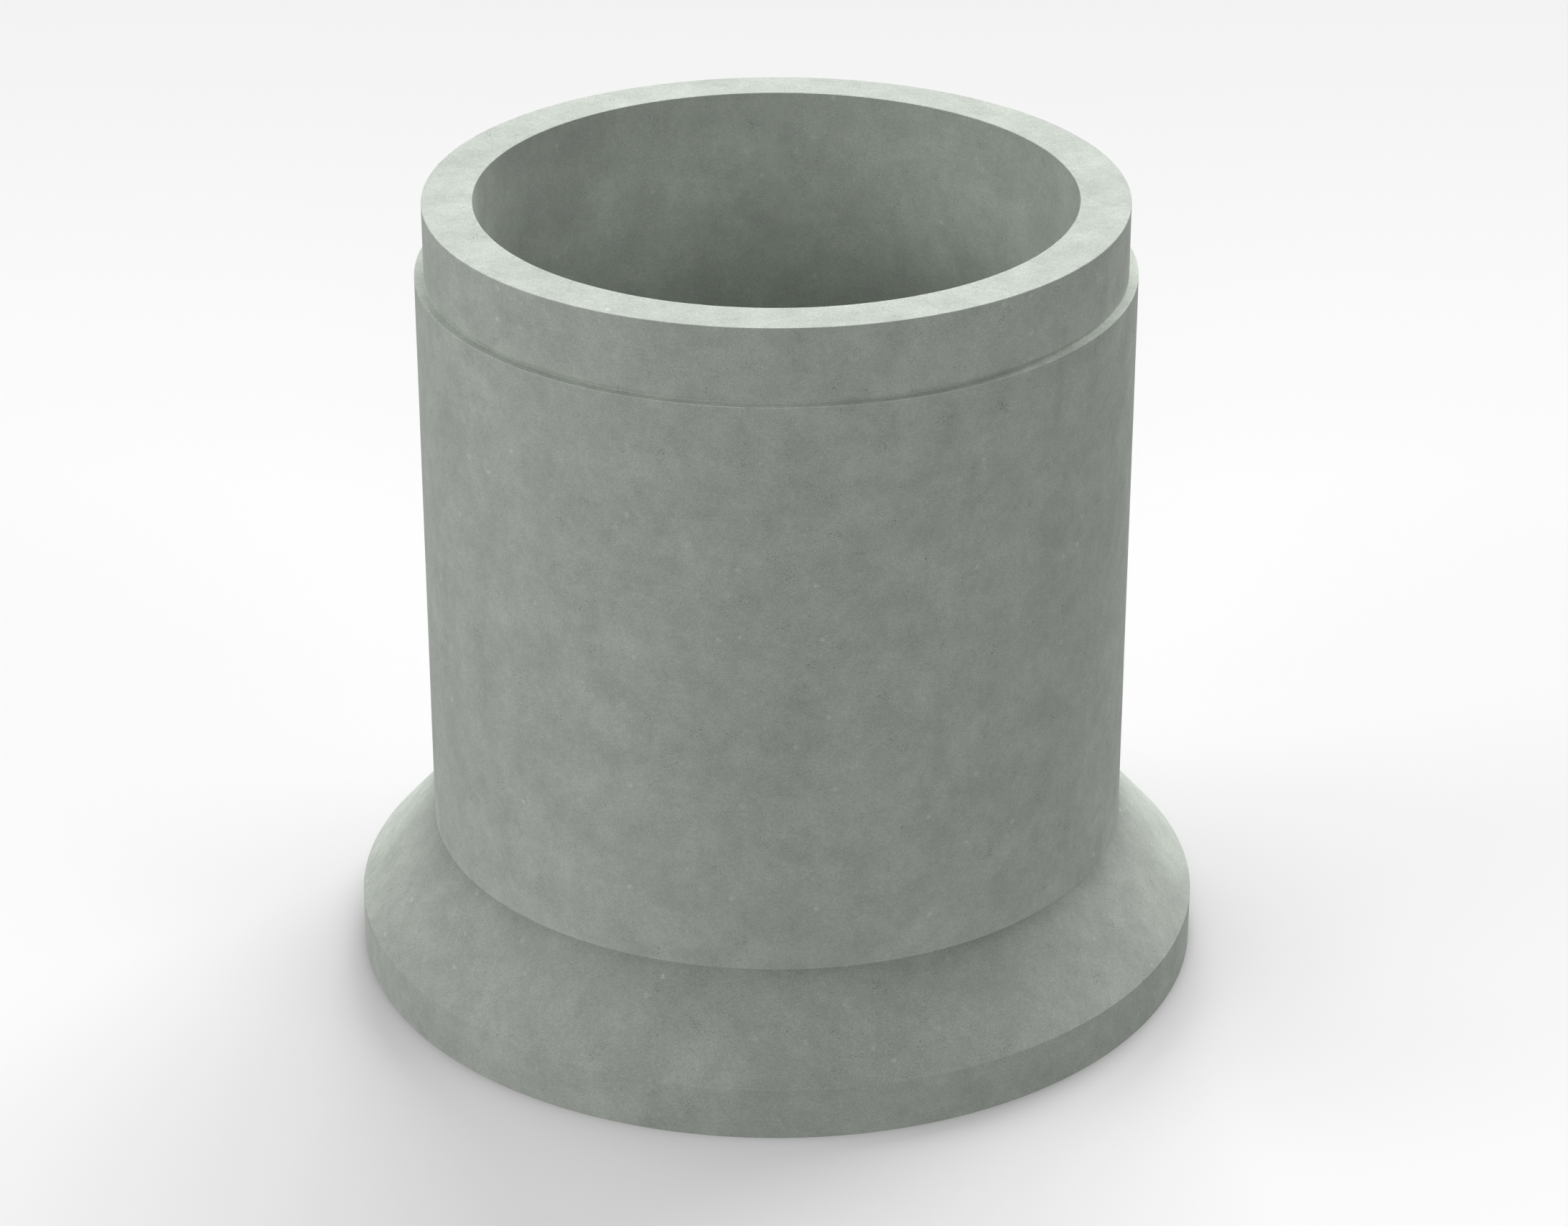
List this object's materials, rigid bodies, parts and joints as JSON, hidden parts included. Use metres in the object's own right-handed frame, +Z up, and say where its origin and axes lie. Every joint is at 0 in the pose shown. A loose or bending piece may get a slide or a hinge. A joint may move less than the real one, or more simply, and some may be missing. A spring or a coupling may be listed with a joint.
{
  "type": "concrete culvert ring",
  "caption": "Short concrete pipe ring with a plain round bore, a stepped spigot on top and a flared bell below, whose socket takes the next ring's spigot.",
  "frame": {"origin": "on the ring's axis, in the plane of the bell's mouth that the ring stands on", "axes": "+Z up along the bore's axis, from the bell's mouth to the spigot's end; the ring is the same all round, so X and Y are free"},
  "size_m": [1.1698, 1.17, 1.094],
  "materials": {
    "concrete": "fine grey-green cast concrete, matt and unpainted, with soft cloudy mottling"
  },
  "bodies": {
    "root": {"culvert_ring": "concrete"}
  },
  "joints": []
}
